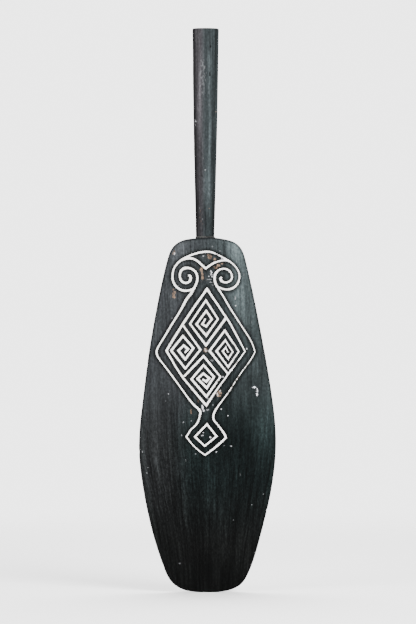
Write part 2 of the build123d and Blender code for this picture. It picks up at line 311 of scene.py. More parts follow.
# White lime rubbed or splashed on the stain: x, z, half width, half height, strength
FLECKS = [
    (10.2, -62.5, 2.4, 4.6, 1.0),
    (12.0, -68.0, 1.8, 2.6, 0.9),
    (5.6, -68.8, 2.2, 1.2, 0.7),
    (7.2, -74.2, 4.8, 0.9, 0.50),
    (9.6, -79.4, 4.6, 0.8, 0.50),
    (13.0, -84.0, 2.6, 0.8, 0.4),
    (30.0, -37.6, 3.0, 2.2, 0.9),
    (86.0, -265.4, 3.8, 1.8, 1.0),
    (91.6, -271.0, 2.2, 3.6, 1.0),
    (92.0, -278.5, 2.5, 3.6, 0.95),
    (-5.2, -300.5, 2.2, 4.4, 0.95),
    (-2.4, -306.5, 2.4, 2.8, 0.75),
    (4.4, -305.2, 2.8, 2.2, 0.45),
    (28.0, -304.0, 1.4, 1.5, 0.7),
    (40.0, -315.5, 2.0, 1.2, 0.7),
    (-25.0, -325.0, 1.4, 1.4, 0.6),
    (-39.0, -327.5, 1.7, 1.7, 0.45),
    (-42.0, -351.0, 1.1, 2.4, 0.45),
    (14.0, -297.0, 1.1, 1.3, 0.6),
    (73.5, -197.0, 1.4, 1.6, 0.9),
    (-65.0, -277.5, 1.3, 1.5, 0.6),
    (-70.4, -290.5, 1.4, 1.4, 0.35),
    (31.6, -246.6, 1.5, 1.7, 0.8),
    (-17.0, -383.5, 1.8, 1.0, 0.55),
    (19.4, -380.2, 1.5, 1.7, 0.8),
    (33.0, -368.8, 2.0, 1.0, 0.45),
    (46.0, -369.6, 2.1, 1.2, 0.6),
    (-3.6, -345.8, 1.5, 1.3, 0.7),
    (-5.0, -350.8, 3.3, 1.2, 0.6),
    (8.8, -353.8, 2.8, 1.8, 1.0),
    (-58.5, -143.0, 1.3, 2.0, 0.55),
    (53.6, -121.0, 1.6, 1.5, 0.75),
    (53.2, -107.0, 1.7, 3.6, 0.5),
    (-111.5, -380.0, 1.3, 2.0, 0.45),
    (-102.0, -408.0, 1.5, 0.9, 0.4),
    (-103.6, -417.5, 1.3, 1.2, 0.4),
    (82.6, -474.0, 1.3, 1.2, 0.5),
    (103.0, -455.0, 1.2, 1.1, 0.35),
    (49.7, -501.0, 1.2, 1.1, 0.45),
    (-45.5, -578.0, 2.4, 1.6, 0.3),
    (13.0, -16.0, 1.7, 2.4, 0.35),
    (26.0, -24.0, 2.4, 1.2, 0.45),
    (-3.0, -33.0, 2.2, 1.4, 0.55),
    (4.6, -285.4, 1.3, 2.2, 0.6),
    (-33.0, -254.0, 1.1, 1.1, 0.35),
    (-6.0, -240.0, 1.1, 1.4, 0.35),
    (37.5, -146.5, 2.4, 2.0, 0.45),
    (12.0, -218.0, 2.8, 2.0, 0.55),
    (16.5, -214.0, 1.4, 1.8, 0.5),
    (55.0, -42.0, 1.3, 2.6, 0.3),
    (68.0, -66.0, 1.1, 3.2, 0.3),
    (82.0, -150.0, 1.1, 2.6, 0.25),
    (-84.0, -206.0, 1.2, 1.8, 0.25),
    (-35.0, -395.0, 1.1, 2.4, 0.3),
    (62.0, -420.0, 1.0, 3.4, 0.25),
    (21.4, -278.0, 1.9, 3.6, 0.62),
    (26.6, -272.6, 1.7, 2.6, 0.62),
    (1.6, -200.6, 3.4, 2.2, 0.62),
    (-1.6, -197.6, 1.8, 1.8, 0.55),
    (-55.0, -28.4, 1.9, 2.6, 0.75),
]
# Small dark pits
PITS = [
    (-11.4, -541.0, 1.7, 2.0, 0.8),
    (40.0, -148.5, 2.0, 1.6, 0.8),
    (64.0, -455.0, 1.2, 2.6, 0.4),
    (-82.0, -505.0, 1.0, 2.2, 0.4),
]
# Where the lime has worn thin or dirty: x, z, half width, half height, strength
THIN_LIME = [
    (53.0, -217.0, 4.0, 7.0, 0.55),
    (57.0, -225.0, 5.0, 8.0, 0.6),
    (22.6, -256.0, 3.0, 2.6, 1.0),
    (59.0, -248.5, 3.0, 5.5, 0.75),
    (68.0, -232.0, 2.5, 3.0, 0.6),
    (62.0, -154.0, 5.0, 5.0, 0.4),
    (21.0, -29.5, 4.5, 2.6, 0.6),
    (33.0, -106.0, 5.0, 3.0, 0.25),
    (-29.0, -105.0, 7.0, 8.0, 0.35),
    (-42.0, -124.0, 3.0, 6.0, 0.25),
    (-57.5, -80.0, 3.0, 4.0, 0.3),
    (66.0, -189.0, 3.0, 4.0, 0.35),
    (18.0, -272.0, 3.0, 5.0, 0.25),
    (45.0, -170.0, 3.0, 5.0, 0.25),
    (54.5, -254.0, 2.4, 3.4, 0.9),
    (47.0, -263.5, 3.0, 3.4, 0.8),
    (39.5, -273.5, 2.6, 3.4, 0.7),
    (32.0, -283.0, 2.6, 3.4, 0.45),
    (73.0, -226.0, 2.6, 3.4, 0.6),
    (44.0, -158.0, 3.4, 5.0, 0.5),
    (39.6, -151.0, 2.6, 2.6, 0.5),
]
# Each kind of wear on the blade: its spots and the seed of their ragged edges
BLADE_WEAR = {"bare": (CHIPS, 40), "fleck": (FLECKS, 140), "pit": (PITS, 90)}
# A spot's outline, as shares of its half size: where it ends, how softly, and how far it wanders
SPOT_EDGE = 0.90
SPOT_FADE = 0.16
RAGGEDNESS = 0.62


def spot(x, z, centre_x, centre_z, half_width, half_height, seed):
    """1 inside a ragged oval, 0 outside, with a crisp edge."""
    far = np.hypot((x - centre_x) / half_width, (z - centre_z) / half_height)
    ragged = far + RAGGEDNESS * fbm(x / 1.2 + seed, z / 1.6, seed, 3)
    return np.clip((SPOT_EDGE - ragged) / SPOT_FADE, 0, 1)


def spots(x, z, table, seed):
    """The strongest of a list of spots at each point."""
    total = np.zeros(len(x))
    for k, (cx, cz, rx, rz, strength) in enumerate(table):
        total = np.maximum(total, strength * spot(x, z, cx, cz, rx, rz, seed + k))
    return total


# ---------------------------------------------------------------- meshes


def grid(low, high, step):
    """Points in staggered rows."""
    rows = np.arange(low[1], high[1], step * math.sqrt(3) / 2)
    out = []
    for k, z in enumerate(rows):
        x = np.arange(low[0] + step / 2 * (k % 2), high[0], step)
        out.append(np.stack([x, np.full(len(x), z)], 1))
    return np.concatenate(out)


def triangulate(points, loops):
    """Triangles over all the points, with the loops kept as edges: the points used and the triangles."""
    coords = np.concatenate([points] + loops)
    edges = []
    first = len(points)
    for loop in loops:
        count = len(loop)
        edges += [(first + k, first + (k + 1) % count) for k in range(count)]
        first += count
    out = delaunay_2d_cdt([Vector(p) for p in coords.tolist()], edges, [], 0, 1e-5)
    return np.array([tuple(v) for v in out[0]]), np.array([tri for tri in out[2] if len(tri) == 3])


def facing(points, tris, sign):
    """Triangles turned so that they face along y with that sign."""
    along = face_normals(points, tris)[:, 1] * sign > 0
    return np.where(along[:, None], tris, tris[:, ::-1])


def on_face(flat, side, below=0.0):
    """Points over flat ones, at a depth below the fair crown of the front (side -1) or back (side 1)."""
    x, z = flat.T
    return np.stack([x, side * (crown(x, z) - below), z], 1)


def make_object(name, points, faces, cad_node, sharp_angle):
    """A mesh object from points in millimetres; it replaces a CAD node and rides on the one rigid body."""
    mesh = bpy.data.meshes.new(name)
    mesh.from_pydata((np.asarray(points) * MM).tolist(), [], [list(f) for f in faces])
    mesh.validate()
    mesh.polygons.foreach_set("use_smooth", [True] * len(mesh.polygons))
    obj = bpy.data.objects.new(name, mesh)
    bpy.context.scene.collection.objects.link(obj)
    mesh.set_sharp_from_angle(angle=math.radians(sharp_angle))
    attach(obj, "root")
    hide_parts(cad_node)
    return obj


def attribute(obj, name, values):
    """A number at each point of the mesh, for its material to read."""
    made = obj.data.attributes.new(name, "FLOAT", "POINT")
    made.data.foreach_set("value", np.asarray(values, np.float32))


def weld(points, faces, nearer=1e-4):
    """Points that coincide made one."""
    keys = np.round(points / nearer).astype(np.int64)
    _, first, same = np.unique(keys, axis=0, return_index=True, return_inverse=True)
    same = same.reshape(-1)
    out = []
    for face in faces:
        loop = [int(same[k]) for k in face]
        loop = [v for k, v in enumerate(loop) if v != loop[k - 1]]
        if len(loop) > 2:
            out.append(loop)
    return points[first], out


def tube(rings, closed=True):
    """Faces that join equal rings of points one above the other, and that close the ends."""
    count = len(rings[0])
    faces = []
    for r in range(len(rings) - 1):
        for k in range(count):
            n = (k + 1) % count
            faces.append((r * count + k, r * count + n, (r + 1) * count + n, (r + 1) * count + k))
    if closed:
        faces.append(tuple(range(count))[::-1])
        faces.append(tuple(range((len(rings) - 1) * count, len(rings) * count)))
    return faces


# ---------------------------------------------------------------- blade

EDGE_STEP = 1.8
SKIN_INSET = 4.6  # the rounded edge lies outside this line
WALL_RUN = 0.5  # a groove's wall leans this far
LIP = 0.4  # how wide the worn lip of a groove is
LIP_DROP = 0.14  # and how far it falls
# How far apart the points of the mesh are
CARVED_STEP = 1.7
PLAIN_STEP = 3.2
BACK_STEP = 4.2
WEAR_STEP = 0.5
LEAST_GAP = 0.36
RAIL_CLEARANCE = 0.12

# Small bites out of the blade's edge: x, z, reach, depth
EDGE_NICKS = [
    (-118.5, -380, 3.0, 0.7),
    (110.5, -484, 2.2, 0.9),
    (-75, -583, 3.0, 0.5),
    (121, -425, 2.0, 0.4),
    (-103, -226, 2.4, 0.4),
]


def face_relief(x, z, seed):
    """How far the wood stands above the fair crown: long shallow tool marks and slow waves."""
    waves = 0.22 * fbm(x / 46, z / 90, seed, 2)
    drift = 5 * noise(x / 60, z / 120, seed + 5)
    marks = 0.10 * fbm((x + drift) / 9, z / 70, seed + 9, 2)
    fine = 0.035 * fbm((x + drift) / 1.6, z / 34, seed + 17, 2)
    return waves + marks + fine


def groove_profile(inside):
    """Depth below the face at a distance inside the groove's edge; negative is out on the land."""
    lip = LIP_DROP * smooth(1 + inside / LIP)
    wall = (GROOVE_DEPTH - LIP_DROP) * smooth(inside / WALL_RUN)
    return np.where(inside < 0, lip, LIP_DROP + wall)


def front_depth(x, z, inside):
    """How far the finished front lies below the fair crown."""
    chips, splash, pits = (spots(x, z, *BLADE_WEAR[kind]) for kind in ("bare", "fleck", "pit"))
    rough = 0.5 + 0.5 * fbm(x / 0.9, z / 3.0, 31, 2)
    on_land = smooth(-inside / LIP)
    wear = chips * (0.5 + 0.5 * rough) + pits - 0.10 * splash * (0.6 + 0.4 * rough)
    return groove_profile(inside) + on_land * wear - face_relief(x, z, 3) * np.clip(on_land + 0.4, 0, 1)


def edge_rings(loop):
    """Rings of points that round the blade's edge from the front skin to the back skin."""
    along = np.cumsum(np.linalg.norm(np.roll(loop, -1, 0) - loop, axis=1))
    nicks = np.zeros(len(loop))
    for cx, cz, reach, bite in EDGE_NICKS:
        nicks += bite * np.exp(-(((loop[:, 0] - cx) ** 2 + (loop[:, 1] - cz) ** 2) / reach**2))
    wander = 0.25 * noise(along / 37, along * 0, 7) + 0.12 * noise(along / 9, along * 0, 8)
    inward = 0.1 + nicks - wander.clip(-0.1, 0.5) * 0.6
    rounding = 2.4 + 0.5 * noise(along / 23, along * 0 + 3, 11) + 0.25 * noise(along / 6, along * 0, 12)
    rings = []
    for side in (-1, 1):
        part = []
        for angle in (0, 18, 36, 54, 72, 90):
            lean = math.radians(angle)
            inset = inward + rounding * (1 - math.sin(lean))
            at = offset(loop, inset)
            fall = rounding * (1 - math.cos(lean))
            half = crown(*offset(loop, inward + rounding).T) - fall
            part.append(np.stack([at[:, 0], side * half, at[:, 1]], 1))
        rings += part if side < 0 else part[::-1]
    return rings


def wear_points(tables, step):
    """Close-set points over each spot, so that its edge comes out crisp."""
    out = []
    for table in tables:
        for cx, cz, rx, rz, _ in table:
            reach = np.array([rx, rz]) * 1.35
            fine = grid(np.array([cx, cz]) - reach, np.array([cx, cz]) + reach, step)
            near = (((fine - [cx, cz]) / reach) ** 2).sum(1) < 1
            out.append(fine[near])
    return np.concatenate(out)


def thin_out(points, gap):
    """The points in order, without any that is nearer than the gap to one already kept."""
    kept = {}
    out = []
    for x, z in points.tolist():
        i, j = math.floor(x / gap), math.floor(z / gap)
        near = [p for a in (-1, 0, 1) for b in (-1, 0, 1) for p in kept.get((i + a, j + b), ())]
        if all((x - p) ** 2 + (z - q) ** 2 >= gap * gap for p, q in near):
            kept.setdefault((i, j), []).append((x, z))
            out.append((x, z))
    return np.array(out)


def build_blade():
    """The carved front, the plain back and the rounded edge between them, welded into one closed mesh."""
    loop = tidy_round(silhouette, EDGE_STEP)
    skin_edge = offset(loop, SKIN_INSET)
    skin = Region([skin_edge])
    low, high = loop.min(0), loop.max(0)

    rows = [offset(rail, side) for rail in groove_loops for side in (-LIP, WALL_RUN, -0.18, 0.25)]
    fine = wear_points([CHIPS, FLECKS, PITS], WEAR_STEP)
    near = grid(low, high, CARVED_STEP)
    far = grid(low, high, PLAIN_STEP)
    rail_points = np.concatenate(groove_loops)
    box_low = rail_points.min(0) - 3
    box_high = rail_points.max(0) + 3
    carved = ((near > box_low) & (near < box_high)).all(1)
    outer = ~((far > box_low) & (far < box_high)).all(1)
    candidates = np.concatenate(rows + [fine, near[carved], far[outer]])
    kept = thin_out(candidates, LEAST_GAP)
    to_rail = np.abs(grooves.distance(kept))
    kept = kept[to_rail > RAIL_CLEARANCE]
    kept = kept[skin.distance(kept) > 0.9]
    points, tris = triangulate(kept, groove_loops + [skin_edge])
    centres = points[tris].mean(1)
    tris = tris[skin.distance(centres) > 0]
    x, z = points.T
    inside = grooves.distance(points)
    on_rail = np.abs(inside) < 1e-3
    inside[on_rail] = 0
    edge_far = skin.distance(points)
    drop = front_depth(x, z, inside) * smooth(edge_far / 3)
    front = on_face(points, -1, drop)

    hexes = grid(low, high, BACK_STEP)
    hexes = hexes[skin.distance(hexes) > 1.6]
    back_points, back_tris = triangulate(hexes, [skin_edge])
    back_tris = back_tris[skin.distance(back_points[back_tris].mean(1)) > 0]
    rise = face_relief(*back_points.T, 60) * 1.6 * smooth(skin.distance(back_points) / 3)
    back = on_face(back_points, 1, -rise)

    rings = edge_rings(loop)
    rings = [on_face(skin_edge, -1)] + rings + [on_face(skin_edge, 1)]
    band = np.concatenate(rings)
    quads = tube(rings, closed=False)

    n_front, n_back = len(front), len(back)
    points3 = np.concatenate([front, back, band])
    faces = [tuple(f) for f in facing(front, tris, -1)]
    faces += [tuple(f + n_front) for f in facing(back, back_tris, 1)]
    faces += [tuple(k + n_front + n_back for k in q) for q in quads]
    points3, faces = weld(points3, faces)

    obj = make_object("blade_look", points3, faces, "blade", 50)
    px, py, pz = points3.T
    on_front = (py < 0) & (skin.distance(points3[:, [0, 2]]) > 0.5)
    inside = np.where(on_front, grooves.distance(points3[:, [0, 2]]), -99)
    land = smooth(-inside / LIP) * on_front
    for name, table_and_seed in BLADE_WEAR.items():
        attribute(obj, name, spots(px, pz, *table_and_seed) * land)
    # Painted shade in the grooves: the material makes their walls and floor nearly black
    attribute(obj, "groove", smooth((inside + 0.9) / 0.9) * on_front)
    # Painted shade on the land beside the grooves
    attribute(obj, "near", smooth(1 + (inside + 1.0) / 5) * on_front)
    # Painted shade on the blade's rounded edge
    attribute(obj, "rim", 1 - smooth((Region([loop]).distance(points3[:, [0, 2]]) - 0.8) / 3.2))
    return obj


# ---------------------------------------------------------------- lime

LIME_GAP = 0.66  # between the lime's edge and the groove's wall
LIME_EDGE_STEP = 0.8
LIME_STEP = 0.85
LIME_HIGHEST = 0.15  # how near the lime comes to the face


def thinness(x, z):
    """Where the lime is worn: 0 sound, 1 gone."""
    worn = spots(x, z, THIN_LIME, 200)
    crumble = np.clip(fbm(x / 3.2, z / 4.4, 77, 3) - 0.42, 0, 1) * 2.2
    return np.clip(np.maximum(worn, crumble), 0, 1)


def thin_line(x, z):
    """How much further the lime stands off its wall where the engraved line is a thin one."""
    along_flanks = smooth((-170 - z) / 30) * smooth((335 + z) / 30)
    right = 0.42 * smooth((x - 14) / 20) * along_flanks
    left = 0.24 * smooth((-14 - x) / 20) * along_flanks * smooth((-205 - z) / 20)
    pendant = 0.36 * smooth((-308 - z) / 16) + 0.10 * smooth((-352 - z) / 8)
    return right + left + pendant


def build_lime(node):
    """One stretch of lime: the CAD piece's outline drawn in from the groove's wall, under an uneven top."""
    points, tris, normals = cad_mesh(node)
    mid = points[tris].mean(1)
    low = mid[:, 1] + crown(mid[:, 0], mid[:, 2])
    face = (normals[:, 1] < -0.9) & (low > 0.3) & (low < 1.6)
    recess = float(np.median(low[face]))
    loops = [resample(loop, LIME_EDGE_STEP) for loop in boundary_loops(points, tris[face])]
    drawn_in = []
    for loop in loops:
        by_wall = np.abs(grooves.distance(loop)) < 0.12
        wander = 0.12 * noise(loop[:, 0] / 2.3, loop[:, 1] / 2.3, 21)
        drawn_in.append(offset(loop, by_wall * (LIME_GAP + thin_line(*loop.T) + wander)))
    region = Region(drawn_in)
    fill = grid(region.a.min(0), region.a.max(0), LIME_STEP)
    fill = fill[region.distance(fill) > 0.3]
    flat, faces = triangulate(fill, drawn_in)
    faces = faces[region.distance(flat[faces].mean(1)) > 0]
    x, z = flat.T
    rim = region.distance(flat)
    wall = np.maximum(grooves.distance(flat), 0)
    dish = 0.30 * (1 - smooth(wall / 1.3))
    rough = 0.16 * fbm(x / 1.7, z / 1.7, 51, 2) + 0.10 * noise(x / 0.8, z / 0.8, 54)
    thin = thinness(x, z)
    below = recess - 0.35 + dish + rough + thin * 0.75
    below = np.clip(below, LIME_HIGHEST, GROOVE_DEPTH - 0.12)
    top = on_face(flat, -1, below)
    bottom = on_face(flat, -1, GROOVE_DEPTH - 0.02)
    faces = facing(top, faces, -1)
    count = len(flat)
    edges = {}
    for tri in faces.tolist():
        for k in range(3):
            edges[tri[k], tri[(k + 1) % 3]] = True
    sides = [(a, a + count, b + count, b) for a, b in edges if (b, a) not in edges]
    every = [tuple(f) for f in faces] + [tuple(f[::-1] + count) for f in faces] + [s[::-1] for s in sides]
    obj = make_object(node + "_look", np.concatenate([top, bottom]), every, node, 50)
    attribute(obj, "thin", np.concatenate([thin, thin]))
    # Painted shade on the lime beside the groove's walls, which its material darkens
    edge = 1 - smooth(np.minimum(wall, rim + 1) / 1.0)
    attribute(obj, "rim", np.concatenate([edge, edge]))
    return obj


# ---------------------------------------------------------------- shaft, bead and glue


shaft_points, shaft_tris, _ = cad_mesh("shaft")
shaft_tree = BVHTree.FromPolygons(shaft_points.tolist(), shaft_tris.tolist())
tenon_low = shaft_points[:, 2].min()
tenon_radius = float(np.hypot(*shaft_points[shaft_points[:, 2] < tenon_low + 0.1][:, :2].T).max())

SHAFT_SIDES = 168
SHAFT_RING_STEP = 2.2
SHAFT_FOOT = -1.2  # where the looks' rings begin, a little inside the shoulder
SHAFT_GIRTH = 22  # a middling radius, which turns angles into lengths along the surface
TOP_ROUNDING = 2.0  # the top edge is worn round over this height

# Wear on the shaft, listed as on the blade
SHAFT_CHIPS = [
    (7.0, 51.0, 1.3, 2.2, 0.3),
    (19.0, 223.0, 0.9, 2.0, 0.3),
    (-8.4, 46.0, 0.8, 4.0, 0.2),
    (-6.2, 41.0, 0.7, 3.6, 0.2),
    (-9.6, 36.0, 0.8, 3.2, 0.2),
    (-7.4, 29.0, 0.8, 3.4, 0.2),
    (-4.6, 24.0, 0.7, 2.6, 0.2),
]
SHAFT_FLECKS = [
    (-17.0, 206.0, 1.7, 2.2, 0.75),
    (-17.6, 200.0, 1.0, 1.8, 0.5),
    (-0.5, 119.5, 1.4, 1.6, 0.5),
    (-11.5, 247.0, 1.0, 2.0, 0.25),
    (-3.6, 140.0, 0.8, 2.4, 0.3),
    (-10.4, 52.0, 0.8, 3.2, 0.3),
    (-5.2, 33.0, 0.8, 2.6, 0.3),
    (6.0, 262.0, 0.7, 9.0, 0.28),
    (6.4, 238.0, 0.6, 8.0, 0.25),
    (7.0, 300.0, 0.7, 8.0, 0.25),
]
SHAFT_PITS = [
    (9.8, 338.0, 1.6, 2.8, 0.9),
    (8.3, 289.0, 1.4, 4.4, 0.8),
    (-19.0, 206.0, 1.0, 3.6, 0.5),
    (-6.0, 109.0, 1.1, 1.3, 0.6),
    (-1.0, 108.0, 0.9, 1.1, 0.6),
    (4.0, 110.0, 1.1, 1.3, 0.6),
    (-12.0, 222.0, 2.6, 1.0, 0.35),
    (-4.6, 232.0, 1.0, 4.0, 0.3),
]
SHAFT_ROUGH = [(-5.0, 290.0, 6.5, 38.0, 1.0)]
SHAFT_WEAR = {
    "bare": (SHAFT_CHIPS, 340),
    "fleck": (SHAFT_FLECKS, 380),
    "pit": (SHAFT_PITS, 360),
    "rough_zone": (SHAFT_ROUGH, 390),
}


def directions_round(count):
    """Evenly spaced directions round the shaft's axis, as angles and as unit vectors."""
    turn = np.linspace(0, 2 * math.pi, count, endpoint=False)
    return turn, np.stack([np.cos(turn), np.sin(turn)], 1)


def ring_at(directions, radius, z):
    """A ring of points round the shaft's axis."""
    flat = directions * np.reshape(radius, (-1, 1))
    return np.column_stack([flat, np.broadcast_to(z, len(directions))])


def shaft_radii(z, directions):
    """From the shaft's axis out to the CAD shaft's facets, in each direction, at one height."""
    out = []
    for dx, dy in directions:
        hit = shaft_tree.ray_cast(Vector((dx * 80, dy * 80, z)), Vector((-dx, -dy, 0)))[0]
        out.append(math.hypot(hit.x, hit.y))
    return np.array(out)


def facet_light_and_shade(across, z):
    """Painted light and shade on the shaft: how lit each facet looks, from -1 to 1 across the shaft, with a
    painted highlight along one ridge and a dark line near the middle.
    """
    high = smooth((z - 120) / 130)
    low = 1 - high
    tone = -0.24 * (1 - smooth((across + 0.90) / 0.16)) - 0.05 * (1 - smooth((across + 0.60) / 0.12))
    front_facet = smooth((across + 0.64) / 0.16) * (1 - smooth((across + 0.12) / 0.20))
    tone = tone + (0.03 + 0.12 * high) * front_facet
    tone = tone - 0.09 * low * (1 - smooth((across + 0.34) / 0.20))
    tone = tone - 0.10 * smooth((across - 0.48) / 0.12) - 0.17 * smooth((across - 0.70) / 0.14)
    tone = tone + 0.16 * smooth((across - 0.80) / 0.08)
    broken = 0.6 + 0.4 * fbm(z / 26, across * 3, 375, 2)
    # Painted highlight along the ridge between the front facets
    ridge = np.exp(-(((across - 0.38) / (0.08 + 0.05 * high)) ** 2))
    ridge = ridge * smooth(z / 60) * smooth((345 - z) / 40)
    # A painted dark line near the middle of the front
    notch = np.exp(-(((across - 0.01) / 0.10) ** 2)) * (0.05 + 0.15 * low * smooth(z / 50))
    return tone + (0.24 * ridge - notch) * broken


def build_shaft():
    """Rings from the tenon's end up to the sawn top, drawn from the CAD facets and then worn."""
    top = shaft_points[:, 2].max()
    turn, directions = directions_round(SHAFT_SIDES)
    kernel = np.exp(-((np.arange(-3, 4) / 1.5) ** 2))
    kernel /= kernel.sum()
    # The CAD facets are read on both sides of each height where they bend
    levels = [3.0, 36.0, 40.0, 100.0, 104.0, 207.0, 211.0, top - 1]
    keyed = [shaft_radii(z, directions) for z in levels]
    rings = []
    heights = list(np.arange(SHAFT_FOOT, top - 3.0, SHAFT_RING_STEP))
    heights += [top - below for below in (2.4, 1.5, 0.8, 0.3, 0.0)]
    for z in heights:
        k = int(np.clip(np.searchsorted(levels, z) - 1, 0, len(levels) - 2))
        t = (z - levels[k]) / (levels[k + 1] - levels[k])
        radius = keyed[k] * (1 - t) + keyed[k + 1] * t
        radius = sum(w * np.roll(radius, s - 3) for s, w in enumerate(kernel))
        around = turn * SHAFT_GIRTH
        blendin = smooth(np.minimum(turn, 2 * math.pi - turn) / 0.3)
        ones = np.ones(SHAFT_SIDES)
        waves = 0.26 * fbm(around / 14, ones * z / 48, 301, 2) * blendin
        marks = 0.16 * fbm(around / 5.0, ones * z / 17 + turn, 307, 2) * blendin
        fine = 0.05 * noise(around / 1.3, ones * z / 22, 311) * blendin
        radius = radius + waves + marks + fine
        px = radius * directions[:, 0]
        pz = ones * z
        front = smooth(-directions[:, 1] * 3)
        splinters = 0.5 + 0.3 * noise(px / 0.9, pz / 2.0, 345)
        radius = radius - front * spots(px, pz, *SHAFT_WEAR["bare"]) * splinters
        radius = radius - front * spots(px, pz, *SHAFT_WEAR["pit"])
        from_top = top - z
        if from_top < TOP_ROUNDING:
            radius = radius - (TOP_ROUNDING - from_top) ** 2 * 0.22
        rings.append(ring_at(directions, radius, z))
    end = []
    rim = rings[-1]
    for keep in (0.94, 0.82, 0.68, 0.52, 0.36, 0.2, 0.08):
        ring = rim.copy()
        ring[:, :2] *= keep
        ring[:, 2] = top + 0.12 * noise(ring[:, 0] / 2.4, ring[:, 1] / 9, 371) - 0.12
        end.append(ring)
    profile = [(tenon_radius - 0.8, tenon_low), (tenon_radius, tenon_low + 0.8), (tenon_radius, -1.6)]
    all_rings = [ring_at(directions, radius, z) for radius, z in profile] + rings + end
    flat = np.concatenate(all_rings)
    obj = make_object("shaft_look", flat, tube(all_rings), "shaft", 40)
    x, y, z = flat.T
    right, left = ([tip[k] for tip in (keyed[0], keyed[-1])] for k in (0, SHAFT_SIDES // 2))
    half = np.interp(z, [-10, top], [(r + l) / 2 for r, l in zip(right, left)])
    middle_x = np.interp(z, [-10, top], [(r - l) / 2 for r, l in zip(right, left)])
    across = (x - middle_x) / half + 0.03 * noise(z / 31, z * 0, 372)
    # Painted light and shade per facet, weaker on the back
    attribute(obj, "facet", facet_light_and_shade(across, z) * np.where(y < 0, 1, 0.6))
    front = smooth(-y / 4)
    for name, table_and_seed in SHAFT_WEAR.items():
        attribute(obj, name, spots(x, z, *table_and_seed) * front)
    return obj


def build_bead():
    """A lumpy ring of filler in the corner between the shaft's foot and the shoulder."""
    low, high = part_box("foot_bead")
    low = np.array(low) / MM
    high = np.array(high) / MM
    count = 120
    turn, directions = directions_round(count)
    wall = shaft_radii(3.0, directions)
    edge = np.hypot(*(directions * (high - low)[:2] / 2).T)
    width = np.minimum(edge - wall, 2.4).clip(0.8, 2.4)
    ones = np.ones(count)
    lumps = 1 + 0.22 * noise(turn * 9, ones, 401) + 0.16 * noise(turn * 23, ones, 402)
    tall = high[2] * (0.85 + 0.2 * noise(turn * 12, ones, 403))
    rings = []
    slope = [(0.1, 1.0), (0.36, 0.72), (0.62, 0.42), (0.84, 0.2), (1.0, 0.0)]
    for out, up in [(-0.6, -1.2), (-0.6, 1.0)] + slope + [(1.0, -1.2)]:
        radius = wall + width * out * lumps
        height = np.where(up < 0, up, tall * up)
        rings.append(ring_at(directions, radius, height))
    flat = np.concatenate(rings)
    faces = tube(rings, closed=False)
    last = (len(rings) - 1) * count
    faces += [(last + k, last + (k + 1) % count, (k + 1) % count, k) for k in range(count)]
    return make_object("foot_bead_look", flat, faces, "foot_bead", 60)


def build_glue():
    """The thin skin of glue round the tenon and under its end."""
    low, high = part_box("tenon_glue")
    outer = (high.x - low.x) / 2 / MM
    bottom = low.z / MM
    inner = tenon_radius + 0.02
    directions = directions_round(96)[1]
    top = high.z / MM - 0.4
    profile = [(outer, bottom), (outer, top), (inner, top), (inner, tenon_low - 0.02)]
    rings = [ring_at(directions, radius, z) for radius, z in profile]
    return make_object("tenon_glue_look", np.concatenate(rings), tube(rings), "tenon_glue", 30)


blade = build_blade()
limes = [build_lime(node) for node in sorted(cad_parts) if node.startswith("lime_")]
shaft = build_shaft()
bead = build_bead()
glue = build_glue()

# ---------------------------------------------------------------- materials


